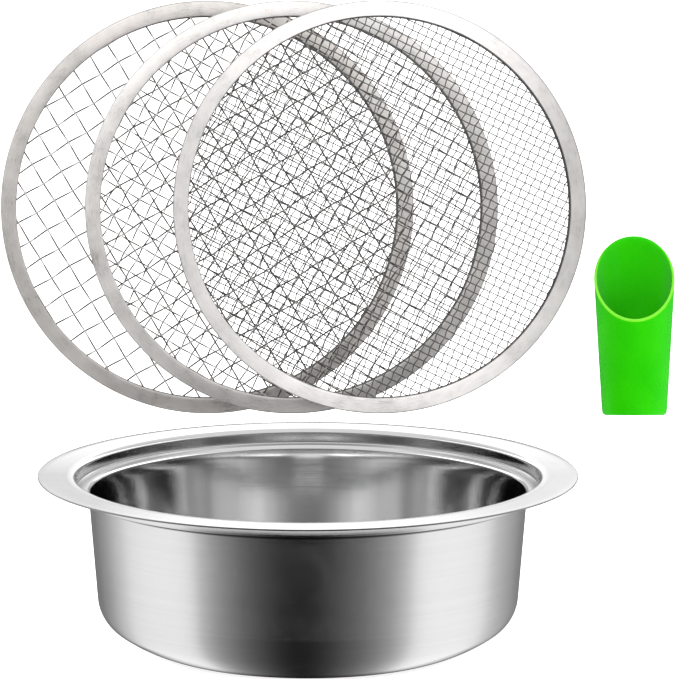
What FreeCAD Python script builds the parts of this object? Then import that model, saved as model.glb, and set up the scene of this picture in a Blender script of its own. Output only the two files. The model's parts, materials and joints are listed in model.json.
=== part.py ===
import FreeCAD, Part

import math
import os

import Sketcher

# Soil sieve, in millimetres.  A drawn stainless pan with a flat rim that sits on a bucket, three
# round wire-mesh screens that drop into the pan one at a time, and a plastic scoop.
# +Z is up and the pan's axis is the Z axis; the pan stands on z = 0 with its front towards -Y.
# The screens and the scoop are set out in a row over the back of the rim, all leaning back alike.

V = FreeCAD.Vector
doc = FreeCAD.newDocument("soil_sieve")

# --- driving dimensions ---------------------------------------------------------------------
sheet = doc.addObject("Spreadsheet::Sheet", "sizes")
SIZES = [
    # pan, measured on the outer and lower side of the sheet
    ("gauge", 1.0, "thickness of the pan's sheet"),
    ("rim_radius", 150.0, "outer edge of the flat rim"),
    ("rim_height", 98.1, "top of the flat rim above the floor"),
    ("step_radius", 129.5, "upright step inside the rim"),
    ("step_depth", 7.8, "rim down to the ledge"),
    ("wall_top_radius", 121.7, "tapered wall where it meets the ledge"),
    ("wall_taper", 4.87, "degrees from upright"),
    ("heel_radius", 23.0, "tight bend at the foot of the wall"),
    ("dish_radius", 87.0, "wide bend of the dished bottom"),
    ("lip_hole_radius", 76.0, "outlet in the bottom"),
    ("lip_flat", 3.6, "width of the flat lip around the outlet"),
    ("lip_bend_radius", 6.0, "bend between the lip and the dish"),
    ("lip_bend_angle", 15.7, "degrees turned by that bend"),
    ("corner_inner", 1.4, "bends that are hollow from below"),
    ("corner_outer", 1.4, "bend from the ledge up to the step"),
    # screens
    ("screen_radius", 116.0, "outside of a screen's folded rim"),
    ("band_width", 8.8, "face of the folded rim"),
    ("band_depth", 4.0, "thickness of the folded rim"),
    ("band_gauge", 0.8, "sheet of the folded rim"),
    ("band_round", 0.75, "rounding of the folded edges"),
    ("mesh_radius", 114.3, "how far the wires reach into the fold"),
    ("layer_gap", 0.08, "between the two layers of wires"),
    ("coarse_pitch", 11.9, "coarse mesh, wire to wire"),
    ("coarse_wire", 0.9, "coarse wire diameter"),
    ("medium_pitch", 7.65, "medium mesh, wire to wire"),
    ("medium_wire", 0.8, "medium wire diameter"),
    ("fine_pitch", 4.25, "fine mesh, wire to wire"),
    ("fine_wire", 0.6, "fine wire diameter"),
    # scoop
    ("scoop_length", 101.4, "base to the tip of the tongue"),
    ("scoop_base_radius", 18.2, "outside, at the closed end"),
    ("scoop_tip_radius", 24.2, "outside, at the full length"),
    ("scoop_wall", 1.5, "wall and floor"),
    ("scoop_corner", 2.4, "rounding of the closed end"),
    ("scoop_front", 53.1, "base to the lowest point of the slanting mouth"),
    # how the loose pieces are set out
    ("lean", 11.1, "degrees that the row leans back"),
    ("row_back", 132.0, "foot of the row behind the pan's axis"),
    ("row_height", 106.3, "foot of the row above the floor"),
    ("row_spacing", 5.4, "one screen behind the next"),
    ("coarse_side", -56.8, "coarse screen's centre across"),
    ("medium_side", -9.5, "medium screen's centre across"),
    ("fine_side", 40.0, "fine screen's centre across"),
    ("scoop_side", 183.1, "scoop's axis across"),
    ("scoop_drop", 1.0, "scoop's foot below the screens' feet"),
]
for row, (alias, value, note) in enumerate(SIZES, start=1):
    sheet.set(f"A{row}", note)
    sheet.set(f"B{row}", str(value))
    sheet.setAlias(f"B{row}", alias)
doc.recompute()


def size(alias):
    return float(sheet.get(alias))


def bind(thing, **expressions):
    """Tie properties of an object to cells of the sheet."""
    for prop, expression in expressions.items():
        thing.setExpression(prop, expression)


def drive(sketch, constraint, expression):
    """Add a dimension to a sketch and tie it to the sheet."""
    index = sketch.addConstraint(constraint)
    sketch.setExpression(f"Constraints[{index}]", expression)


def origin_plane(body, role):
    return next(f for f in body.Origin.OriginFeatures if f.Role == role)


def body_sketch(body, name, role="XZ_Plane"):
    sketch = body.newObject("Sketcher::SketchObject", name)
    sketch.AttachmentSupport = [(origin_plane(body, role), "")]
    sketch.MapMode = "FlatFace"
    return sketch


def closed_polygon(sketch, points):
    """Lines through the points and back to the first, kept joined; level and upright ones stay so."""
    count = len(points)
    for i in range(count):
        a, b = V(*points[i], 0), V(*points[(i + 1) % count], 0)
        sketch.addGeometry(Part.LineSegment(a, b), False)
    for i in range(count):
        sketch.addConstraint(Sketcher.Constraint("Coincident", i, 2, (i + 1) % count, 1))
        (ax, ay), (bx, by) = points[i], points[(i + 1) % count]
        if ax == bx:
            sketch.addConstraint(Sketcher.Constraint("Vertical", i))
        elif ay == by:
            sketch.addConstraint(Sketcher.Constraint("Horizontal", i))


def revolve(body, sketch, name):
    turned = body.newObject("PartDesign::Revolution", name)
    turned.Profile = (sketch, [""])
    turned.ReferenceAxis = (sketch, ["V_Axis"])
    turned.Angle = 360.0
    doc.recompute()
    return turned


def circle_edges(feature, radius, height=None):
    """Names of a feature's full-circle edges about Z with this radius, at this height if given."""
    names = []
    for i, edge in enumerate(feature.Shape.Edges, start=1):
        if not isinstance(edge.Curve, Part.Circle):
            continue
        centre = edge.Curve.Center
        if abs(edge.Curve.Radius - radius) < 1e-4 and (height is None or abs(centre.z - height) < 1e-4):
            names.append(f"Edge{i}")
    return names


def fillet(body, base, name, edges, radius):
    rounded = body.newObject("PartDesign::Fillet", name)
    rounded.Base = (base, edges)
    bind(rounded, Radius=radius)
    doc.recompute()
    return rounded


# --- pan: one drawn sheet, its section swept round the axis ----------------------------------
def pan_section(sketch):
    """Outer side of the sheet from the outlet to the rim: straights and bends, tangent all along."""
    hole, lip, bend = size("lip_hole_radius"), size("lip_flat"), size("lip_bend_radius")
    dish, heel = size("dish_radius"), size("heel_radius")
    inner, outer = size("corner_inner"), size("corner_outer")
    ledge_z = size("rim_height") - size("gauge") - size("step_depth")
    rim_z = size("rim_height") - size("gauge")
    step_x, wall_x = size("step_radius"), size("wall_top_radius")
    bend_turn = math.radians(size("lip_bend_angle"))
    wall_turn = math.radians(90 - size("wall_taper"))

    def along(turn):
        return V(math.cos(turn), math.sin(turn), 0)

    def across(turn):
        return V(-math.sin(turn), math.cos(turn), 0)

    # the wall's upper end, where it starts to bend out under the ledge
    wall_top = V(wall_x, ledge_z - inner * (1 - math.sin(math.radians(size("wall_taper")))), 0)
    bend_centre = V(hole + lip, bend, 0)
    dish_start = bend_centre - across(bend_turn) * bend
    dish_centre = dish_start + across(bend_turn) * dish
    # the heel touches the dish from inside and the wall: its centre is this far from each
    foot = wall_top + across(wall_turn) * heel
    reach = dish_centre - foot
    back = reach.dot(along(wall_turn))
    offset = reach.dot(across(wall_turn))
    heel_centre = foot + along(wall_turn) * (back - math.sqrt((dish - heel) ** 2 - offset ** 2))
    heel_end = heel_centre - across(wall_turn) * heel
    to_heel = heel_centre - dish_centre
    heel_start = heel_centre + to_heel * (heel / to_heel.Length)

    under = wall_top - across(wall_turn) * inner            # centre of the bend under the ledge
    under_end = V(under.x, ledge_z, 0)
    step_foot = V(step_x - outer, ledge_z, 0)
    step_start = V(step_x, ledge_z + outer, 0)
    rim_start = V(step_x + inner, rim_z, 0)
    step_end = V(step_x, rim_z - inner, 0)

    def arc(start, centre, end, hollow):
        """Arc from start to end; hollow ones have their centre outside the pan."""
        radius = (start - centre).Length
        middle = (start + end) * 0.5 - centre
        through = centre + middle * (radius / middle.Length)
        return Part.Arc(start, through, end), hollow

    pieces = [
        (Part.LineSegment(V(hole, 0, 0), V(hole + lip, 0, 0)), False),
        arc(V(hole + lip, 0, 0), bend_centre, dish_start, False),
        arc(dish_start, dish_centre, heel_start, False),
        arc(heel_start, heel_centre, heel_end, False),
        (Part.LineSegment(heel_end, wall_top), False),
        arc(wall_top, under, under_end, True),
        (Part.LineSegment(under_end, step_foot), False),
        arc(step_foot, V(step_x - outer, ledge_z + outer, 0), step_start, False),
        (Part.LineSegment(step_start, step_end), False),
        arc(step_end, V(step_x + inner, rim_z - inner, 0), rim_start, True),
        (Part.LineSegment(rim_start, V(size("rim_radius"), rim_z, 0)), False),
    ]
    for geometry, _ in pieces:
        sketch.addGeometry(geometry, False)
    # a hollow bend runs clockwise, so its far end is its own first point
    first = [2 if hollow else 1 for _, hollow in pieces]
    last = [1 if hollow else 2 for _, hollow in pieces]
    for i in range(len(pieces) - 1):
        sketch.addConstraint(Sketcher.Constraint("Tangent", i, last[i], i + 1, first[i + 1]))
    LIP, BEND, DISH, HEEL, WALL, UNDER, LEDGE, OUT, STEP, TURN, RIM = range(len(pieces))
    sketch.addConstraint(Sketcher.Constraint("PointOnObject", LIP, 1, -1))
    for level in (LIP, LEDGE, RIM):
        sketch.addConstraint(Sketcher.Constraint("Horizontal", level))
    sketch.addConstraint(Sketcher.Constraint("Vertical", STEP))
    for curve, alias in ((BEND, "lip_bend_radius"), (DISH, "dish_radius"), (HEEL, "heel_radius"),
                         (UNDER, "corner_inner"), (OUT, "corner_outer"), (TURN, "corner_inner")):
        drive(sketch, Sketcher.Constraint("Radius", curve, size(alias)), f"sizes.{alias}")
    drive(sketch, Sketcher.Constraint("DistanceX", -1, 1, LIP, 1, hole), "sizes.lip_hole_radius")
    drive(sketch, Sketcher.Constraint("DistanceX", LIP, 1, LIP, 2, lip), "sizes.lip_flat")
    drive(sketch, Sketcher.Constraint("Angle", BEND, bend_turn), "sizes.lip_bend_angle * 1deg")
    drive(sketch, Sketcher.Constraint("Angle", WALL, wall_turn), "90deg - sizes.wall_taper * 1deg")
    drive(sketch, Sketcher.Constraint("DistanceX", -1, 1, WALL, 2, wall_x), "sizes.wall_top_radius")
    drive(sketch, Sketcher.Constraint("DistanceY", -1, 1, LEDGE, 1, ledge_z),
          "sizes.rim_height - sizes.gauge - sizes.step_depth")
    drive(sketch, Sketcher.Constraint("DistanceX", -1, 1, STEP, 1, step_x), "sizes.step_radius")
    drive(sketch, Sketcher.Constraint("DistanceY", -1, 1, RIM, 1, rim_z),
          "sizes.rim_height - sizes.gauge")
    drive(sketch, Sketcher.Constraint("DistanceX", -1, 1, RIM, 2, size("rim_radius")),
          "sizes.rim_radius")


section = doc.addObject("Sketcher::SketchObject", "pan_section")
section.Placement = FreeCAD.Placement(V(0, 0, 0), FreeCAD.Rotation(V(1, 0, 0), 90))
pan_section(section)
sheet_band = doc.addObject("Part::Offset2D", "pan_sheet_band")
sheet_band.Source = section
sheet_band.Mode = "Skin"
sheet_band.Join = "Intersection"
sheet_band.Fill = True
sheet_band.Value = size("gauge")
bind(sheet_band, Value="sizes.gauge")
pan = doc.addObject("Part::Revolution", "pan")
pan.Source = sheet_band
pan.Axis = V(0, 0, 1)
pan.Base = V(0, 0, 0)
pan.Angle = 360.0
doc.recompute()
subparts = [pan]

# --- the display row: a plane leaning back behind the pan -------------------------------------
lean = math.radians(size("lean"))
UP_ROW = V(0, math.sin(lean), math.cos(lean))               # up the leaning plane
OUT_ROW = V(0, -math.cos(lean), math.sin(lean))             # out of it, to the front
ROW_FOOT = V(0, size("row_back"), size("row_height"))


def screen_place(side, rank):
    """A screen standing in the row: its own Z axis points to the front, its own Y up the row."""
    centre = ROW_FOOT + UP_ROW * size("screen_radius") + V(side, 0, 0)
    centre = centre + OUT_ROW * (rank * size("row_spacing"))
    return FreeCAD.Placement(centre, FreeCAD.Rotation(V(1, 0, 0), 90 - size("lean")))


# --- screens ----------------------------------------------------------------------------------
def screen_rim(name):
    """A strip folded into a channel that is open towards the middle and grips the wire ends."""
    body = doc.addObject("PartDesign::Body", name)
    sketch = body_sketch(body, name + "_section")
    outside, inside = size("screen_radius"), size("screen_radius") - size("band_width")
    wall, half = size("band_gauge"), size("band_depth") / 2
    A, B, C, D, E, F, G, H = range(8)
    closed_polygon(sketch, [(inside, half), (outside, half), (outside, -half), (inside, -half),
                            (inside, wall - half), (outside - wall, wall - half),
                            (outside - wall, half - wall), (inside, half - wall)])
    axis_x = ("DistanceX", -1, 1)
    drive(sketch, Sketcher.Constraint(*axis_x, A, 2, outside), "sizes.screen_radius")
    drive(sketch, Sketcher.Constraint(*axis_x, A, 1, inside), "sizes.screen_radius - sizes.band_width")
    drive(sketch, Sketcher.Constraint(*axis_x, C, 2, inside), "sizes.screen_radius - sizes.band_width")
    drive(sketch, Sketcher.Constraint(*axis_x, E, 2, outside - wall),
          "sizes.screen_radius - sizes.band_gauge")
    drive(sketch, Sketcher.Constraint("DistanceY", -1, 1, A, 1, half), "sizes.band_depth / 2")
    drive(sketch, Sketcher.Constraint("DistanceY", C, 2, -1, 1, half), "sizes.band_depth / 2")
    drive(sketch, Sketcher.Constraint("DistanceY", G, 2, A, 1, wall), "sizes.band_gauge")
    drive(sketch, Sketcher.Constraint("DistanceY", C, 2, D, 2, wall), "sizes.band_gauge")
    ring = revolve(body, sketch, name + "_fold")
    fillet(body, ring, name + "_round", circle_edges(ring, outside), "sizes.band_round")
    return body


def wire_family(name, pitch, wire, angle, layer):
    """Parallel wires across the screen, a solid each, every one as long as its chord of the rim.

    angle is the wires' direction in degrees from level, falling to the right; layer is +1 for the
    wires in front and -1 for those behind.
    """
    reach = size("mesh_radius")
    count = int((reach - pitch / 2) // pitch)
    height = layer * (wire + size("layer_gap")) / 2
    run = V(math.cos(math.radians(angle)), -math.sin(math.radians(angle)), 0)
    side = V(-run.y, run.x, 0)
    wires = []
    for i in range(-count, count + 1):
        half = math.sqrt(reach ** 2 - (abs(i * pitch) + wire / 2) ** 2)
        start = side * (i * pitch) - run * half + V(0, 0, height)
        wires.append(Part.makeCylinder(wire / 2, 2 * half, start, run))
    family = doc.addObject("Part::Feature", name)
    family.Shape = Part.makeCompound(wires)
    return family


SCREENS = [
    # name, place in the row from back to front, direction of the first family of wires
    ("coarse", -1, 58.5),
    ("medium", 0, 29.5),
    ("fine", 1, 25.0),
]
for name, rank, angle in SCREENS:
    place = screen_place(size(name + "_side"), rank)
    rim = screen_rim(name + "_rim")
    warp = wire_family(name + "_warp_wires", size(name + "_pitch"), size(name + "_wire"), angle, 1)
    weft = wire_family(name + "_weft_wires", size(name + "_pitch"), size(name + "_wire"),
                       angle - 90, -1)
    for piece in (rim, warp, weft):
        piece.Placement = place
        subparts.append(piece)

# --- scoop: a tapered tube with a closed end, its mouth cut on a slant --------------------------
scoop = doc.addObject("PartDesign::Body", "scoop")
cup = body_sketch(scoop, "scoop_section")
length, wall = size("scoop_length"), size("scoop_wall")
base, tip = size("scoop_base_radius"), size("scoop_tip_radius")
FLOOR, OUTSIDE, MOUTH, INSIDE, TOP_OF_FLOOR, AXIS = range(6)
closed_polygon(cup, [(0, 0), (base, 0), (tip, length),
                     (tip - wall, length), (base - wall, wall), (0, wall)])
cup.addConstraint(Sketcher.Constraint("Coincident", FLOOR, 1, -1, 1))
drive(cup, Sketcher.Constraint("DistanceX", FLOOR, 1, FLOOR, 2, base), "sizes.scoop_base_radius")
drive(cup, Sketcher.Constraint("DistanceX", AXIS, 2, OUTSIDE, 2, tip), "sizes.scoop_tip_radius")
drive(cup, Sketcher.Constraint("DistanceY", AXIS, 2, OUTSIDE, 2, length), "sizes.scoop_length")
drive(cup, Sketcher.Constraint("DistanceX", MOUTH, 2, MOUTH, 1, wall), "sizes.scoop_wall")
drive(cup, Sketcher.Constraint("DistanceX", INSIDE, 2, FLOOR, 2, wall), "sizes.scoop_wall")
drive(cup, Sketcher.Constraint("DistanceY", FLOOR, 1, AXIS, 1, wall), "sizes.scoop_wall")
tube = revolve(scoop, cup, "scoop_tube")
tube = fillet(scoop, tube, "scoop_base_round", circle_edges(tube, base, 0), "sizes.scoop_corner")

# the slant runs from the low front lip up to the tip of the tongue at the back
slant = body_sketch(scoop, "scoop_mouth", "YZ_Plane")
front = size("scoop_front")
spare = 10.0                                                # past the tube on every side
rise = (length - front) / (base + (tip - base) * front / length + tip)
closed_polygon(slant, [(-tip - spare, length - rise * (2 * tip + spare)),
                       (tip + spare, length + rise * spare),
                       (tip + spare, length + 2 * spare), (-tip - spare, length + 2 * spare)])
volume_before = tube.Shape.Volume
mouth = scoop.newObject("PartDesign::Pocket", "scoop_slant_cut")
mouth.Profile = (slant, [""])
mouth.Type = "ThroughAll"
mouth.Midplane = True
doc.recompute()
assert mouth.Shape.Volume < 0.9 * volume_before, "the slanting cut removed nothing"
foot_of_scoop = ROW_FOOT + V(size("scoop_side"), 0, 0) - UP_ROW * size("scoop_drop")
scoop.Placement = FreeCAD.Placement(foot_of_scoop, FreeCAD.Rotation(V(1, 0, 0), -size("lean")))
subparts.append(scoop)

# --- check and write --------------------------------------------------------------------------
doc.recompute()
for thing in doc.Objects:
    bad = [state for state in thing.State if state in ("Invalid", "Error")]
    assert not bad, f"{thing.Label}: {bad}"
os.makedirs("parts", exist_ok=True)
for piece in subparts:
    shape = piece.Shape
    assert not shape.isNull() and shape.isValid() and shape.Solids, piece.Label
    box = shape.BoundBox
    print(f"{piece.Label:20s} {len(shape.Solids):3d} solid(s) {shape.Volume / 1000:8.2f} cm3  "
          f"x {box.XMin:.1f}..{box.XMax:.1f}  y {box.YMin:.1f}..{box.YMax:.1f}  "
          f"z {box.ZMin:.1f}..{box.ZMax:.1f}")
    shape.exportStep(os.path.join("parts", piece.Label + ".step"))
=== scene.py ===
import json
import math

import bpy
from mathutils import Matrix, Vector


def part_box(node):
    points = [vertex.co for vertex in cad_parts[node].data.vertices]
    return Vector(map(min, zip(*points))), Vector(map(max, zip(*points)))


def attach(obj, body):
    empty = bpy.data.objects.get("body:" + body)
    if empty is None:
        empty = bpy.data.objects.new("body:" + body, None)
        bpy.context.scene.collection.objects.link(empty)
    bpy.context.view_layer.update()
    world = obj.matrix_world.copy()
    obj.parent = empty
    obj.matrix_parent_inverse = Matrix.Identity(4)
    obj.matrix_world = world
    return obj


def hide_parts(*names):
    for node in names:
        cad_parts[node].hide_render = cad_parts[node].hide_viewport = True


# Looks for the soil sieve: spun stainless pan, three woven screens in folded rims, green scoop.
# Lengths below are metres; the places and the overall sizes come from the frame's boxes.

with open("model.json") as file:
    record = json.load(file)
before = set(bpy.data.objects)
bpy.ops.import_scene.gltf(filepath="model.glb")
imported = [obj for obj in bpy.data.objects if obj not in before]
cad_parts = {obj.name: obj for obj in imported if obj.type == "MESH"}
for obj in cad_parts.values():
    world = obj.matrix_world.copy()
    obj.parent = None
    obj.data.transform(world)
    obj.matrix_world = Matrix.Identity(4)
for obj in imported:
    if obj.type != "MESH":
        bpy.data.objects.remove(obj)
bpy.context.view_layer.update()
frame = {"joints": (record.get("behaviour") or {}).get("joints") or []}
MM = 0.001
TAU = 2 * math.pi


def box_of(node):
    lo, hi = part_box(node)
    return Vector(lo), Vector(hi)


# --- axes shared by everything that leans --------------------------------------------------------
UP = Vector(next(j for j in frame["joints"] if j["name"] == "scoop_lift")["axis"]).normalized()
RIGHT = Vector((1, 0, 0))
OUT = RIGHT.cross(UP).normalized()      # out of the row, to the front
EYE = math.radians(11.1)                # the camera's height over the horizon


# --- mesh helpers --------------------------------------------------------------------------------
def mesh_object(name, verts, faces, smooth=True):
    mesh = bpy.data.meshes.new(name)
    mesh.from_pydata(verts, [], faces)
    mesh.validate()
    mesh.update()
    if smooth:
        mesh.shade_smooth()
    obj = bpy.data.objects.new(name, mesh)
    bpy.context.scene.collection.objects.link(obj)
    return obj


def lathe(name, section_at, segments, place=Matrix.Identity(4)):
    """Spin a closed section of (radius, height) points round the local Z axis.

    section_at gives the section at an angle. It has the same number of points at every angle.
    """
    verts, faces = [], []
    for s in range(segments):
        a = TAU * s / segments
        c, d = math.cos(a), math.sin(a)
        section = section_at(a)
        verts.extend(place @ Vector((r * c, r * d, z)) for r, z in section)
        t, n = (s + 1) % segments, len(section)
        for i in range(n):
            j = (i + 1) % n
            faces.append((s * n + i, t * n + i, t * n + j, s * n + j))
    return mesh_object(name, verts, faces)


class Pen:
    """Walks along a section: straights and tangent bends, with the heading kept in radians."""

    def __init__(self, x, z, heading=0.0):
        self.x, self.z, self.heading = x, z, heading
        self.points = [(x, z, heading)]

    def line(self, length, steps=1):
        for _ in range(steps):
            self.x += math.cos(self.heading) * length / steps
            self.z += math.sin(self.heading) * length / steps
            self.points.append((self.x, self.z, self.heading))

    def bend(self, radius, turn, step=math.radians(5)):
        """Turn left for a positive angle, right for a negative one."""
        steps = max(2, math.ceil(abs(turn) / step))
        side = math.copysign(1, turn)
        cx = self.x - math.sin(self.heading) * radius * side
        cz = self.z + math.cos(self.heading) * radius * side
        for k in range(1, steps + 1):
            h = self.heading + turn * k / steps
            x, z = cx + math.sin(h) * radius * side, cz - math.cos(h) * radius * side
            self.points.append((x, z, h))
        self.x, self.z, self.heading = self.points[-1]


# --- pan -------------------------------------------------------------------------------------------
pan_lo, pan_hi = box_of("pan")
RIM_R = (pan_hi.x - pan_lo.x) / 2
RIM_Z = pan_hi.z
GAUGE = 1.0 * MM
TAPER = math.radians(4.87)
STEP_R, STEP_DROP, WALL_R = 129.5 * MM, 7.8 * MM, 121.7 * MM
HEEL, DISH, HOLE, LIP = 23 * MM, 87 * MM, 76 * MM, 3.6 * MM
LIP_BEND, LIP_TURN = 6 * MM, math.radians(15.7)
HOLLOW, ROUND = 1.4 * MM, 1.4 * MM
RIM_NOSE, HOLE_NOSE = 0.45 * MM, 0.3 * MM       # how far the rounded cut edges stand out
PAN_SEGMENTS = 320


def pan_section():
    """Section of the pan, followed from the hole up to the rim along its outside, and back."""
    ledge = RIM_Z - GAUGE - STEP_DROP
    pen = Pen(HOLE, 0)
    pen.line(LIP, 2)
    pen.bend(LIP_BEND, LIP_TURN)
    dish_x = pen.x - math.sin(pen.heading) * DISH
    dish_z = pen.z + math.cos(pen.heading) * DISH
    wall = math.pi / 2 - TAPER
    top_x, top_z = WALL_R, ledge - HOLLOW * (1 - math.sin(TAPER))
    foot_x, foot_z = top_x - math.sin(wall) * HEEL, top_z + math.cos(wall) * HEEL
    reach_x, reach_z = dish_x - foot_x, dish_z - foot_z
    back = reach_x * math.cos(wall) + reach_z * math.sin(wall)
    across = -reach_x * math.sin(wall) + reach_z * math.cos(wall)
    along = back - math.sqrt((DISH - HEEL) ** 2 - across ** 2)
    heel_x, heel_z = foot_x + math.cos(wall) * along, foot_z + math.sin(wall) * along
    meet = math.atan2(heel_x - dish_x, dish_z - heel_z)
    pen.bend(DISH, meet - pen.heading, math.radians(2))
    pen.bend(HEEL, wall - pen.heading, math.radians(4))
    pen.line(math.hypot(top_x - pen.x, top_z - pen.z), 10)
    pen.bend(HOLLOW, -wall, math.radians(9))
    pen.line(STEP_R - ROUND - pen.x, 2)
    pen.bend(ROUND, math.pi / 2, math.radians(9))
    pen.line(RIM_Z - GAUGE - HOLLOW - pen.z, 2)
    pen.bend(HOLLOW, -math.pi / 2, math.radians(9))
    pen.line(RIM_R - RIM_NOSE - pen.x, 4)
    outer = [(x, z) for x, z, _ in pen.points]
    inner = [(x - math.sin(h) * GAUGE, z + math.cos(h) * GAUGE) for x, z, h in pen.points]
    # both cut edges of the sheet are rounded over
    half = GAUGE / 2
    turns = [math.radians(d) for d in range(20, 180, 20)]
    rim_edge = [(pen.x + math.sin(a) * RIM_NOSE, pen.z + half - math.cos(a) * half) for a in turns]
    hole_edge = [(HOLE + HOLE_NOSE * (1 - math.sin(a)), half + math.cos(a) * half) for a in turns]
    outer[0] = (HOLE + HOLE_NOSE, 0.0)
    inner[0] = (HOLE + HOLE_NOSE, GAUGE)
    return outer + rim_edge + inner[::-1] + hole_edge


pan_outline = pan_section()
pan = lathe("pan_sheet", lambda angle: pan_outline, PAN_SEGMENTS)
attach(pan, "pan")
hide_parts("pan")


# --- screens ---------------------------------------------------------------------------------------
BAND, DEPTH, FOLD, CROWN = 8.8 * MM, 4.0 * MM, 0.8 * MM, 0.9 * MM
CUT, CORNER, BEND = 0.40 * MM, 0.12 * MM, 0.75 * MM     # rounding of cut edges, and outer bends
SIDE_TOP, SIDE_FOOT = 0.3 * MM, -0.6 * MM               # where the rim's outer side is straight
SPARE, SPARE_SIDE = 0.6175 * MM, math.radians(8)        # half of the back leaf's extra reach, and where
RIM_SEGMENTS = 288
RIM_GRIP = 1.7 * MM                                     # from a wire's end to the rim's outside


def row_frame(origin):
    """Frame of a piece in the row: X across, Y up the row, Z to the front."""
    return Matrix.Translation(origin) @ Matrix((RIGHT, UP, OUT)).transposed().to_4x4()


def rim_ring(name, outside, place):
    """A strip folded into a channel that is open to the middle.

    Its face is slightly crowned, its cut edges are rounded, and the back leaf of the fold reaches
    a little further in on one side, as on a fold that was closed by hand.
    """
    inside, half = outside - BAND, DEPTH / 2

    def section_at(angle):
        # front leaf, from its cut edge out over the crown
        section = [(inside + CUT, half - FOLD), (inside + CORNER, half - FOLD + CORNER),
                   (inside, half - CUT), (inside + CORNER, half - CORNER)]
        for k in range(9):
            t = k / 8
            section.append((inside + CUT + t * (BAND - CUT - BEND), half - CROWN * t * t))
        for turn in (20, 40, 60, 80):
            b = math.radians(turn)
            section.append((outside - BEND + BEND * math.sin(b),
                            half - CROWN - BEND * (1 - math.cos(b))))
        section += [(outside, SIDE_TOP), (outside, SIDE_FOOT)]
        for turn in (0, 30, 60, 90):
            b = math.radians(turn)
            section.append((outside - BEND + BEND * math.cos(b), -half + BEND * (1 - math.sin(b))))
        # back leaf
        end = inside - SPARE * (1 + math.cos(angle - SPARE_SIDE))
        section += [(end + CUT, -half), (end + CORNER, CORNER - half), (end, CUT - half),
                    (end + CORNER, FOLD - CORNER - half), (end + CUT, FOLD - half),
                    (outside - FOLD, FOLD - half), (outside - FOLD, half - FOLD - CROWN)]
        return section

    return lathe(name, section_at, RIM_SEGMENTS, place)


ZIGZAG = 0.95                                           # 0 waves like a cosine, 1 has sharp bends
CLEARANCE = 0.02 * MM                                   # half of the gap between wires that cross
SLOPE_STEP = 0.02                                       # of phase, for the slope of a wave


def weave(name, place, reach, pitch, wire, angle, sign, sway, rings, sides):
    """One direction of a plain weave: round wires waving over and under those that cross them.

    sway is how far the crimps also lean sideways. The attribute crest is 1 where a wire is in
    front of the one that it crosses and -1 where it is behind.
    """
    run = Vector((math.cos(angle), -math.sin(angle), 0))
    side = Vector((-run.y, run.x, 0))
    out = Vector((0, 0, 1))
    lift = wire / 2 + CLEARANCE
    count = int((reach - pitch / 2) // pitch)
    verts, faces, crests = [], [], []

    def wave(phase):
        """A cosine drawn out towards a zigzag: straight runs with short bends."""
        return math.asin(ZIGZAG * math.cos(phase)) / math.asin(ZIGZAG)

    for i in range(-count, count + 1):
        half = math.sqrt(reach ** 2 - (abs(i * pitch) + wire / 2) ** 2)
        steps = max(4, round(2 * half / pitch * rings))
        base = len(verts)
        for k in range(steps + 1):
            s = -half + 2 * half * k / steps
            phase = math.pi * (s / pitch + i)
            height = sign * lift * wave(phase)
            change = (wave(phase + SLOPE_STEP) - wave(phase - SLOPE_STEP)) / (2 * SLOPE_STEP)
            slope = sign * lift * change * math.pi / pitch
            tangent = (run + out * slope).normalized()
            normal = side.cross(tangent) * -1
            centre = side * (i * pitch + sway * wave(phase)) + run * s + out * height
            crests.extend([sign * math.cos(phase)] * sides)
            for q in range(sides):
                a = TAU * q / sides
                v = centre + (side * math.cos(a) + normal * math.sin(a)) * (wire / 2)
                verts.append(place @ v)
        for k in range(steps):
            for q in range(sides):
                p = (q + 1) % sides
                lo, hi = base + k * sides, base + (k + 1) * sides
                faces.append((lo + q, lo + p, hi + p, hi + q))
        faces.append(tuple(base + q for q in reversed(range(sides))))
        faces.append(tuple(base + steps * sides + q for q in range(sides)))
    obj = mesh_object(name, verts, faces)
    # crest also places the painted highlight and shade in the wire's colour
    obj.data.attributes.new("crest", "FLOAT", "POINT").data.foreach_set("value", crests)
    return obj


SCREENS = {
    # pitch, wire, direction of the first family, sideways lean of the two families' crimps,
    # rings to a crossing, sides of a wire
    "coarse": (11.9 * MM, 0.9 * MM, 58.5, 0.15 * MM, 0.38 * MM, 10, 12),
    "medium": (7.65 * MM, 0.8 * MM, 29.5, 0.15 * MM, 0.36 * MM, 8, 10),
    "fine": (4.25 * MM, 0.6 * MM, 25.0, 0.06 * MM, 0.36 * MM, 4, 6),
}
FAMILIES = ("warp", "weft")
rims, weaves = {}, {}
for name, (pitch, wire, degrees, warp_sway, weft_sway, rings, sides) in SCREENS.items():
    lo, hi = box_of(name + "_rim")
    outside = (hi.x - lo.x) / 2
    place = row_frame((lo + hi) / 2)
    rims[name] = rim_ring(name + "_rim_band", outside, place)
    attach(rims[name], name + "_screen")
    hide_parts(name + "_rim")
    angle = math.radians(degrees)
    settings = ((angle, 1, warp_sway), (angle - math.pi / 2, -1, weft_sway))
    for family, (along, sign, sway) in zip(FAMILIES, settings):
        piece = weave(f"{name}_{family}_weave", place, outside - RIM_GRIP, pitch, wire, along,
                      sign, sway, rings, sides)
        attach(piece, name + "_screen")
        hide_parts(f"{name}_{family}_wires")
        weaves[name, family] = piece


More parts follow.
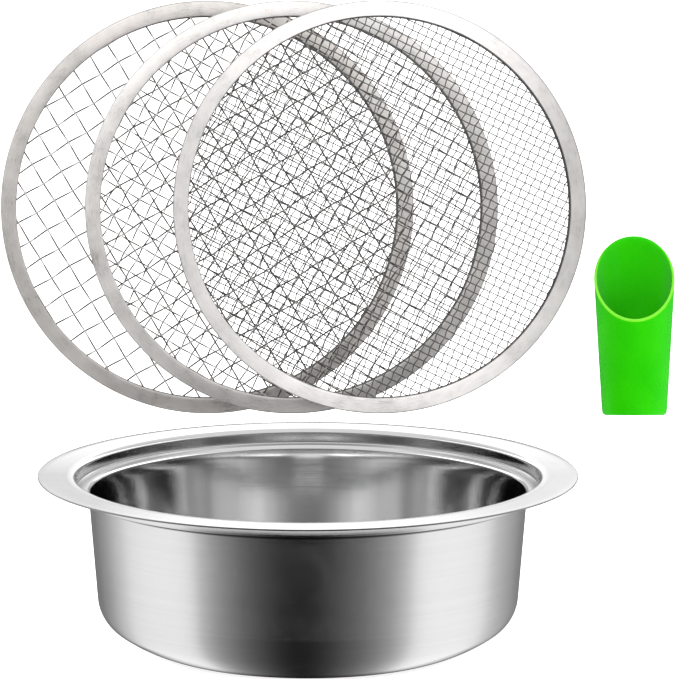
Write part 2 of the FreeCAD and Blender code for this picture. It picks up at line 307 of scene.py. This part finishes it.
# --- scoop -----------------------------------------------------------------------------------------
def scoop_mesh():
    """A tapered cup whose mouth is cut on a slant, built in its own upright frame."""
    length, base, tip, wall = 101.4 * MM, 18.2 * MM, 24.2 * MM, 1.5 * MM
    corner, front, edge, pale = 2.4 * MM, 53.1 * MM, 0.6 * MM, 1.2 * MM
    inner_corner = corner - wall * 0.4
    swell = (tip - base) / length
    rise = (length - front) / (base + swell * front + tip)
    around = 160
    heights = 40
    verts, faces, lip, rows = [], [], [], 0
    for s in range(around):
        a = TAU * s / around
        c, d = math.cos(a), math.sin(a)

        def mouth(wall_in):
            return (length - rise * (tip + (base - wall_in) * c)) / (1 + rise * swell * c)

        section = [(0.0, 0.0)]
        section += [(base * f, 0.0) for f in (0.3, 0.6, 0.8)]
        for k in range(7):
            b = math.radians(15 * k)
            section.append((base - corner + corner * math.sin(b), corner - corner * math.cos(b)))
        top = mouth(0.0) - edge
        for k in range(1, heights + 1):
            h = corner + (top - corner) * k / heights
            section.append((base + swell * h, h))
        inner_top = mouth(wall) - edge
        mid_r = base + swell * top - wall / 2
        for k in range(1, 8):
            b = math.radians(22.5 * k)
            h = top + (inner_top - top) * k / 8 + edge * math.sin(b)
            section.append((mid_r + wall / 2 * math.cos(b), h))
        for k in range(heights + 1):
            h = inner_top + (wall + corner - inner_top) * k / heights
            section.append((base - wall + swell * h, h))
        for k in range(1, 7):
            b = math.radians(15 * k)
            section.append((base - wall + swell * (wall + corner) - inner_corner * (1 - math.cos(b)),
                            wall + corner - corner * math.sin(b)))
        section += [(base * f, wall) for f in (0.75, 0.5, 0.25)]
        section.append((0.0, wall))
        rows = len(section)
        # lip is 1 along the mouth's edge and fades out over the depth pale; it places the painted
        # highlight
        lip.extend(max(0.0, 1 - max(0.0, top - h) / pale) for _, h in section)
        # c = 1 faces the front
        verts.extend(Vector((r * d, h, r * c)) for r, h in section)
    for s in range(around):
        t = (s + 1) % around
        for i in range(rows - 1):
            faces.append((s * rows + i, t * rows + i, t * rows + i + 1, s * rows + i + 1))
    return verts, faces, lip


scoop_lo, scoop_hi = box_of("scoop")
row_lo, row_hi = box_of("medium_rim")
row_radius = (row_hi.x - row_lo.x) / 2
row_foot = (row_lo + row_hi) / 2 - UP * row_radius
SCOOP_DROP = 1.0 * MM                   # how far its foot hangs below the foot of the screens
scoop_foot = Vector(((scoop_lo.x + scoop_hi.x) / 2, row_foot.y, row_foot.z)) - UP * SCOOP_DROP
scoop_place = row_frame(scoop_foot)
scoop_verts, scoop_faces, scoop_lip = scoop_mesh()
scoop = mesh_object("scoop_cup", [scoop_place @ v for v in scoop_verts], scoop_faces)
scoop.data.attributes.new("lip", "FLOAT", "POINT").data.foreach_set("value", scoop_lip)
merge = scoop.modifiers.new("merge", "WELD")
merge.merge_threshold = 0.01 * MM
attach(scoop, "scoop")
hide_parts("scoop")


# --- materials -------------------------------------------------------------------------------------
class Graph:
    """Short hand for building a node tree. A value is a number, a colour or another node's output."""

    def __init__(self, tree):
        self.tree = tree

    def add(self, kind, **settings):
        node = self.tree.nodes.new(kind)
        for key, value in settings.items():
            setattr(node, key, value)
        return node

    def feed(self, socket, value):
        if isinstance(value, (int, float)):
            socket.default_value = value
        elif isinstance(value, tuple):
            socket.default_value = (*value, 1)
        else:
            self.tree.links.new(value, socket)

    def make(self, kind, values, output=0, **settings):
        """Add a node, feed its sockets from {socket: value}, and give back one output."""
        node = self.add(kind, **settings)
        for socket, value in values.items():
            self.feed(node.inputs[socket], value)
        return node.outputs[output]

    def split(self, vector):
        node = self.add("ShaderNodeSeparateXYZ")
        self.feed(node.inputs[0], vector)
        return node.outputs

    def combine(self, x, y, z):
        return self.make("ShaderNodeCombineXYZ", {0: x, 1: y, 2: z})

    def math(self, operation, *values):
        return self.make("ShaderNodeMath", dict(enumerate(values)), operation=operation)

    def times(self, a, b):
        return self.math("MULTIPLY", a, b)

    def plus(self, a, b):
        return self.math("ADD", a, b)

    def most(self, a, b):
        return self.math("MAXIMUM", a, b)

    def remap(self, value, lo, hi, out_lo, out_hi):
        return self.make("ShaderNodeMapRange", dict(enumerate((value, lo, hi, out_lo, out_hi))))

    def rise(self, value, start, end):
        """0 at start and 1 at end, which may lie on either side of it."""
        return self.remap(value, start, end, 0.0, 1.0)

    def fall(self, value, start, end):
        return self.remap(value, start, end, 1.0, 0.0)

    def blend(self, factor, a, b):
        """From number a to number b."""
        return self.make("ShaderNodeMix", {0: factor, 2: a, 3: b}, data_type="FLOAT")


class Material(Graph):
    def __init__(self, name):
        self.material = bpy.data.materials.new(name)
        self.material.use_nodes = True
        super().__init__(self.material.node_tree)
        self.shader = self.tree.nodes["Principled BSDF"]

    def surface(self, sockets):
        """Feed the shader's sockets and give back the finished material."""
        for name, value in sockets.items():
            self.feed(self.shader.inputs[name], value)
        return self.material

    def position(self):
        """Object coordinates, whole and split."""
        coords = self.add("ShaderNodeTexCoord").outputs["Object"]
        return coords, self.split(coords)

    def attribute(self, name):
        return self.add("ShaderNodeAttribute", attribute_name=name).outputs["Fac"]

    def noise(self, vector, scale, detail, rough):
        sockets = {"Vector": vector, "Scale": scale, "Detail": detail, "Roughness": rough}
        return self.make("ShaderNodeTexNoise", sockets, "Fac")

    def ramp(self, value, stops):
        node = self.add("ShaderNodeValToRGB")
        ramp = node.color_ramp
        while len(ramp.elements) < len(stops):
            ramp.elements.new(0.5)
        for element, (place, colour) in zip(ramp.elements, stops):
            element.position = place
            element.color = (*colour, 1)
        self.feed(node.inputs[0], value)
        return node.outputs[0]

    def mix(self, factor, a, b, blend="MIX"):
        """From colour a to colour b, or to both blended."""
        return self.make("ShaderNodeMix", {0: factor, 6: a, 7: b}, 2, data_type="RGBA", blend_type=blend)

    def dim(self, factor, tint, value):
        """Multiply a colour by a number where factor is 1."""
        shade = grey(value) if isinstance(value, float) else self.combine(value, value, value)
        return self.mix(factor, tint, shade, "MULTIPLY")

    def bump(self, height, strength, distance, under=None):
        sockets = {"Height": height, "Strength": strength, "Distance": distance}
        if under is not None:
            sockets["Normal"] = under
        return self.make("ShaderNodeBump", sockets, "Normal")


def grey(value):
    return (value, value, value)


def scaled(colour, factor):
    return tuple(min(1.0, factor * c) for c in colour)


WALL_SPAN = 0.12                        # about the radius of the pan's wall
PAINTED_SHADE_GREY = 0.04                             # grey of the painted shade lines on the pan
EDGE_SHADE_COLOUR = (0.06, 0.056, 0.053)            # painted shade in the fold and on the outer bend of a screen's rim


def spun_steel(name, tone, roughness):
    """Stainless sheet spun on a lathe: fine rings round the axis, faint marks from handling.

    Masks pick out parts of the pan by place, in metres, and by facing; several paint light and shade.
    """
    n = Material(name)
    coords, (x, y, z) = n.position()
    sideways = n.math("ABSOLUTE", x)
    radius = n.math("SQRT", n.plus(n.times(x, x), n.times(y, y)))
    normal = n.split(n.add("ShaderNodeNewGeometry").outputs["Normal"])
    upward = normal[2]
    inward = n.times(n.plus(n.times(normal[0], x), n.times(normal[1], y)), -1.0 / WALL_SPAN)

    rings = n.combine(radius, 0.0, z)
    fine = n.noise(rings, 3200.0, 2.0, 0.6)
    coarse = n.noise(rings, 420.0, 3.0, 0.6)
    cloud = n.noise(coords, 14.0, 4.0, 0.6)
    marks = n.noise(coords, 95.0, 5.0, 0.7)

    # inside of the wall and of the rounded bottom
    wall = n.times(n.rise(inward, 0.2, 0.5), n.fall(z, 0.086, 0.089))
    bottom = n.times(n.fall(radius, 0.112, 0.118), n.rise(upward, 0.2, 0.5))
    inside = n.most(wall, bottom)
    # outside of the step below the rim, top of the rim, and the sides of the ledge, which get painted
    # shade
    step = n.times(n.rise(radius, 0.1296, 0.1302), n.fall(z, 0.0966, 0.0970))
    flange = n.times(n.rise(radius, 0.1305, 0.134), n.rise(upward, 0.8, 0.95))
    ledge = n.times(n.rise(radius, 0.1295, 0.1285), n.rise(z, 0.089, 0.090))
    ledge = n.times(ledge, n.rise(sideways, 0.05, 0.09))
    # painted shade lines: front of the rim's edge, foot, and a painted shadow on the outside of the wall
    # under the ledge
    rim = n.times(n.remap(radius, RIM_R - 0.6 * MM, RIM_R - 0.1 * MM, 0.0, 0.8), n.rise(y, 0.02, -0.03))
    foot = n.remap(z, 0.0015, 0.0048, 0.92, 0.0)
    under = n.times(n.remap(z, 0.0864, 0.0872, 0.0, 0.9), n.fall(z, 0.0893, 0.0895))
    under = n.times(under, n.rise(inward, 0.0, -0.3))
    dark = n.most(rim, n.most(foot, under))

    rough = n.plus(n.remap(cloud, 0.3, 0.7, roughness - 0.03, roughness + 0.04),
                   n.remap(fine, 0.3, 0.7, -0.02, 0.03))
    rough = n.plus(rough, n.remap(marks, 0.55, 0.75, 0.0, 0.05))
    polish = n.remap(sideways, 0.096, 0.114, 0.30, 0.62)
    polish = n.plus(n.times(inside, n.math("SUBTRACT", polish, 1.0)), 1.0)
    polish = n.times(polish, n.remap(step, 0.0, 1.0, 1.0, 0.25))

    # the rim's top has a darker mottled tone, and painted light makes it lighter in the middle, at the
    # back and a little on the right
    mottle_and_painted_light = n.mix(n.rise(cloud, 0.35, 0.65), grey(0.47), grey(0.60))
    mottle_and_painted_light = n.mix(n.rise(sideways, 0.115, 0.045), mottle_and_painted_light, grey(1.25))
    mottle_and_painted_light = n.mix(n.rise(y, 0.0, 0.12), mottle_and_painted_light, grey(1.36))
    mottle_and_painted_light = n.mix(n.remap(x, 0.05, 0.14, 0.0, 0.4), mottle_and_painted_light, grey(1.0))

    tint = n.ramp(n.plus(n.times(cloud, 0.6), n.times(coarse, 0.4)),
                  [(0.35, scaled(tone, 0.93)), (0.65, tone)])
    tint = n.mix(flange, tint, mottle_and_painted_light, "MULTIPLY")
    # painted shade: the ledge's sides are darkened to half
    tint = n.dim(ledge, tint, 0.5)
    # painted shade: these lines take a near-black grey
    tint = n.mix(dark, tint, grey(PAINTED_SHADE_GREY))
    # painted shade: the inside of the wall and bottom darkens towards the left and right
    tint = n.dim(inside, tint, n.remap(sideways, 0.062, 0.100, 1.02, 0.56))

    bump = n.bump(fine, 0.12, 0.03 * MM)
    bump = n.bump(coarse, 0.05, 0.06 * MM, bump)
    bump = n.bump(cloud, 0.10, 0.6 * MM, bump)
    return n.surface({"Base Color": tint, "Metallic": 1.0, "Roughness": n.times(rough, polish),
                      "Normal": bump})


def band_steel(name, centre, outside, tone, fade, sides, metal):
    """Folded strip, brushed along its length, with painted shade in the fold and along the outer bend.

    fade is how bright the painted light makes it at its foot and at its top, sides at its left and at
    its right.
    """
    n = Material(name)
    coords, (x, _, z) = n.position()
    across, up = n.math("SUBTRACT", x, centre.x), n.math("SUBTRACT", z, centre.z)
    offset = n.add("ShaderNodeVectorMath", operation="SUBTRACT")
    n.feed(offset.inputs[0], coords)
    offset.inputs[1].default_value = centre
    radius = n.make("ShaderNodeVectorMath", {0: offset.outputs[0]}, "Value", operation="LENGTH")
    turn = n.math("ARCTAN2", up, across)
    strokes = n.noise(n.combine(n.times(radius, 2600.0), n.times(turn, 14.0), 0.0), 1.0, 4.0, 0.7)
    cloud = n.noise(coords, 60.0, 5.0, 0.65)

    tint = n.ramp(n.plus(n.times(cloud, 0.55), n.times(strokes, 0.45)),
                  [(0.36, scaled(tone, 0.74)), (0.5, tone), (0.62, scaled(tone, 1.12))])
    # painted light: brighter or darker from foot to top and towards the left and right
    left = n.remap(across, -0.95 * outside, -0.35 * outside, sides[0], 1.0)
    right = n.remap(across, 0.35 * outside, 0.95 * outside, 1.0, sides[1])
    tint = n.dim(1.0, tint, n.times(n.remap(up, -outside, outside, *fade), n.times(left, right)))
    inside = outside - BAND
    # painted shade: dark in the fold and along the outer bend
    fold = n.remap(radius, inside + 0.10 * MM, inside + 0.50 * MM, 0.9, 0.0)
    bend = n.remap(radius, outside - 0.80 * MM, outside - 0.25 * MM, 0.0, 0.7)
    painted_edge_shade = n.most(fold, bend)
    rough = n.plus(n.remap(strokes, 0.3, 0.7, 0.26, 0.40), n.remap(cloud, 0.3, 0.7, -0.04, 0.05))
    bump = n.bump(cloud, 0.25, 0.3 * MM, n.bump(strokes, 0.35, 0.04 * MM))
    return n.surface({"Base Color": n.mix(painted_edge_shade, tint, EDGE_SHADE_COLOUR), "Roughness": rough, "Normal": bump,
                      "Metallic": n.remap(painted_edge_shade, 0.0, 1.0, metal, 0.3)})


def drawn_wire(name, tone, shine):
    """Dull drawn wire, with a painted highlight on the crimps that stand in front and painted shade on
    those behind.
    """
    n = Material(name)
    coords, _ = n.position()
    cloud = n.noise(coords, 180.0, 4.0, 0.6)
    grain = n.noise(coords, 1500.0, 2.0, 0.6)
    # painted highlight on the front crimps and painted shade on the back ones, varied by noise
    painted_crest_shading = n.plus(n.attribute("crest"), n.remap(cloud, 0.3, 0.7, -0.35, 0.35))
    tint = n.ramp(n.rise(painted_crest_shading, -1.0, 1.0),
                  [(0.20, scaled(tone, 0.12)), (0.70, scaled(tone, 0.22)), (0.96, scaled(tone, shine))])
    return n.surface({"Base Color": tint, "Metallic": 0.2, "Specular IOR Level": 0.12,
                      "Roughness": n.remap(grain, 0.3, 0.7, 0.30, 0.44),
                      "Normal": n.bump(grain, 0.15, 0.03 * MM)})


def moulded_plastic(name):
    """Bright green moulded plastic, semi-gloss, with a paler painted highlight where its mouth is thin
    and rounded.
    """
    n = Material(name)
    coords, _ = n.position()
    cloud = n.noise(coords, 40.0, 4.0, 0.55)
    grain = n.noise(coords, 900.0, 3.0, 0.6)
    tint = n.ramp(cloud, [(0.3, (0.012, 0.365, 0.0)), (0.7, (0.020, 0.41, 0.0))])
    # painted highlight: paler green along the mouth's edge
    tint = n.mix(n.remap(n.attribute("lip"), 0.85, 1.0, 0.0, 0.6), tint, (0.22, 0.62, 0.04))
    return n.surface({"Base Color": tint, "Roughness": n.remap(grain, 0.3, 0.7, 0.24, 0.33),
                      "Normal": n.bump(grain, 0.12, 0.06 * MM), "IOR": 1.45,
                      "Specular IOR Level": 0.07})


RIM_TONE_AND_PAINTED_LIGHT = {
    # tone, painted light fading from foot to top, painted brightness of the two sides, how metallic
    "coarse": ((0.70, 0.665, 0.64), (0.92, 1.18), (0.92, 1.35), 0.78),
    "medium": ((0.84, 0.81, 0.79), (0.84, 1.26), (0.95, 0.92), 0.75),
    "fine": ((0.66, 0.64, 0.63), (1.16, 1.10), (0.60, 0.46), 0.10),
}
WIRE_TONE_AND_PAINTED_HIGHLIGHT = {
    # tone, how bright the painted highlight on the front crimps is
    "coarse": ((0.40, 0.385, 0.37), 0.9),
    "medium": ((0.36, 0.345, 0.33), 1.1),
    "fine": ((0.30, 0.29, 0.285), 0.30),
}
pan.data.materials.append(spun_steel("spun_steel", grey(0.72), 0.14))
for name, rim in rims.items():
    lo, hi = box_of(name + "_rim")
    rim.data.materials.append(
        band_steel(f"{name}_band_steel", (lo + hi) / 2, (hi.x - lo.x) / 2, *RIM_TONE_AND_PAINTED_LIGHT[name]))
    wire_steel = drawn_wire(f"{name}_wire_steel", *WIRE_TONE_AND_PAINTED_HIGHLIGHT[name])
    for family in FAMILIES:
        weaves[name, family].data.materials.append(wire_steel)
scoop.data.materials.append(moulded_plastic("green_plastic"))
# the photo's pan does not mirror the pieces of the row
for piece in (scoop, *rims.values(), *weaves.values()):
    piece.visible_glossy = False

# --- studio ----------------------------------------------------------------------------------------
FLOOR_REACH, FLOOR_DROP, FLOOR_GLOW = 60, 0.2 * MM, 0.85
floor_corners = [(FLOOR_REACH * i, FLOOR_REACH * j, 0) for i, j in ((-1, -1), (1, -1), (1, 1), (-1, 1))]
floor = mesh_object("studio_floor", floor_corners, [(0, 1, 2, 3)], False)
floor.location.z = -FLOOR_DROP
floor.visible_glossy = False
n = Material("studio_floor")
coords, _ = n.position()
tint = n.ramp(n.noise(coords, 3.0, 3.0, 0.5), [(0.3, grey(0.80)), (0.7, grey(0.82))])
floor.data.materials.append(n.surface({"Base Color": tint, "Roughness": 0.9, "Emission Color": grey(1),
                                       "Emission Strength": FLOOR_GLOW}))


def linear(level):
    """Linear value of a display level from 0 to 255."""
    c = level / 255
    return c / 12.92 if c <= 0.04045 else ((c + 0.055) / 1.055) ** 2.4


# What the steel sees, as (bearing in degrees, brightness). LOW and EDGE lie below eye level and
# are display levels from 0 to 255, set out by the bearing of the surface that mirrors them towards
# the front: dark straight ahead, bright soft boxes on both sides, grey beyond. EDGE is a pale table
# edge just under eye level. BELT, BACK and HIGH stand one above the other above eye level. They
# are linear brightness up to FULL, by true bearing, with the back of the room at 180.
LOW = [(-90, 90), (-74, 128), (-60, 194), (-50, 230), (-38, 234), (-30, 184), (-21, 118),
       (-11, 62), (-5, 34), (1, 34), (10, 76), (20, 130), (28, 192), (36, 238), (48, 236),
       (60, 188), (72, 146), (90, 90)]
EDGE = [(-90, 90), (-74, 128), (-60, 200), (-40, 235), (-20, 232), (20, 240), (40, 238),
        (60, 200), (74, 140), (90, 90)]
BELT = [(-180, 0.22), (-145, 0.33), (-118, 1.00), (-97, 1.62), (-76, 0.95), (-60, 0.36),
        (-30, 0.10), (0, 0.10), (30, 0.20), (60, 0.52), (76, 1.10), (97, 1.72), (118, 1.08),
        (145, 0.36), (180, 0.22)]
BACK = [(-180, 1.35), (-170, 1.1), (-158, 0.30), (-140, 0.14), (-90, 0.14), (-40, 0.2),
        (0, 0.25), (40, 0.2), (90, 0.25), (130, 0.4), (158, 0.5), (170, 1.3), (180, 1.35)]
HIGH = [(-180, 1.5), (-165, 1.5), (-141, 4.0), (-97, 3.9), (-60, 1.8), (-25, 0.52), (0, 0.42),
        (25, 0.54), (60, 1.8), (97, 3.9), (141, 4.0), (165, 1.7), (180, 1.5)]
FULL = 4.0
LEVEL_GAIN = 1.39                       # display levels are brightened by this
CEILING = 0.95

world = bpy.data.worlds.new("studio")
bpy.context.scene.world = world
world.use_nodes = True
world.node_tree.nodes.clear()
w = Graph(world.node_tree)
east, north, height = w.split(w.add("ShaderNodeTexCoord").outputs["Generated"])


def curve(angle, stops, half_turn, gain):
    """Brightness by an angle, from stops of (degrees, share of gain)."""
    node = w.add("ShaderNodeFloatCurve")
    points = node.mapping.curves[0].points
    places = [((b + half_turn) / (2 * half_turn), share) for b, share in stops]
    points[0].location, points[1].location = places[0], places[-1]
    for stop in places[1:-1]:
        points.new(*stop)
    node.mapping.update()
    w.feed(node.inputs["Value"], w.rise(angle, -math.radians(half_turn), math.radians(half_turn)))
    return w.times(node.outputs[0], gain)


def by_level(stops):
    return curve(mirror, [(b, linear(level)) for b, level in stops], 90, LEVEL_GAIN)


def by_brightness(stops):
    return curve(bearing, [(b, value / FULL) for b, value in stops], 180, FULL)


mirror = w.math("ARCTAN2", east, w.math("SUBTRACT", math.cos(EYE), north))
bearing = w.math("ARCTAN2", east, w.times(north, -1.0))
edge = w.times(w.rise(height, -0.245, -0.225), w.fall(height, -0.12, -0.08))
low = w.blend(edge, by_level(LOW), by_level(EDGE))
# darker low down behind the pan, which its rounded bottom mirrors
behind = w.times(w.remap(north, 0.84, 0.95, 0.0, 0.9),
                 w.fall(w.math("ABSOLUTE", mirror), math.radians(62), math.radians(80)))
low = w.times(low, w.math("SUBTRACT", 1.0, behind))
upper = w.blend(w.rise(height, 0.144, 0.155), by_brightness(BELT), by_brightness(BACK))
upper = w.blend(w.rise(height, 0.205, 0.222), upper, by_brightness(HIGH))
upper = w.blend(w.rise(height, 0.36, 0.43), upper, CEILING)
studio = w.blend(w.rise(height, -0.09, -0.03), low, upper)
# the camera itself sees plain white
room = w.add("ShaderNodeBackground")
w.feed(room.inputs["Color"], studio)
plain = w.add("ShaderNodeBackground")
w.feed(plain.inputs["Color"], grey(1))
rays = w.add("ShaderNodeLightPath")
choose = w.make("ShaderNodeMixShader", {0: rays.outputs["Is Camera Ray"], 1: room.outputs[0],
                                        2: plain.outputs[0]})
w.feed(w.add("ShaderNodeOutputWorld").inputs[0], choose)

LIGHTS = {
    # place, what it points at, side of its square, power in watts
    "top_light": ((0, -0.2, 2.4), (0, 0, 0), 2.6, 48),
    "front_light": ((-0.9, -2.2, 1.6), (0, 0.05, 0.15), 1.4, 22),
    "right_light": ((2.1, -0.9, 1.2), (0, 0.05, 0.15), 1.2, 12),
}
for name, (place, aim, side, power) in LIGHTS.items():
    data = bpy.data.lights.new(name, "AREA")
    data.shape = "RECTANGLE"
    data.size = data.size_y = side
    data.energy = power
    obj = bpy.data.objects.new(name, data)
    bpy.context.scene.collection.objects.link(obj)
    obj.location = place
    obj.rotation_euler = (Vector(aim) - Vector(place)).to_track_quat("-Z", "Y").to_euler()
    obj.visible_glossy = False

# --- camera ----------------------------------------------------------------------------------------
TARGET = Vector((0.0175, 0.0254, 0.1696))
DISTANCE = 10.0
LENS, SENSOR = 955.3, 36                # in millimetres
CLIP_START, CLIP_END = 0.5, 60
camera = bpy.data.objects.new("camera", bpy.data.cameras.new("camera"))
bpy.context.scene.collection.objects.link(camera)
away = Vector((0, -math.cos(EYE), math.sin(EYE)))
camera.location = TARGET + away * DISTANCE
camera.rotation_euler = (-away).to_track_quat("-Z", "Y").to_euler()
camera.data.lens = LENS
camera.data.sensor_width = SENSOR
camera.data.clip_start = CLIP_START
camera.data.clip_end = CLIP_END
bpy.context.scene.camera = camera
bpy.context.scene.view_settings.view_transform = "Standard"
bpy.context.scene.view_settings.look = "None"
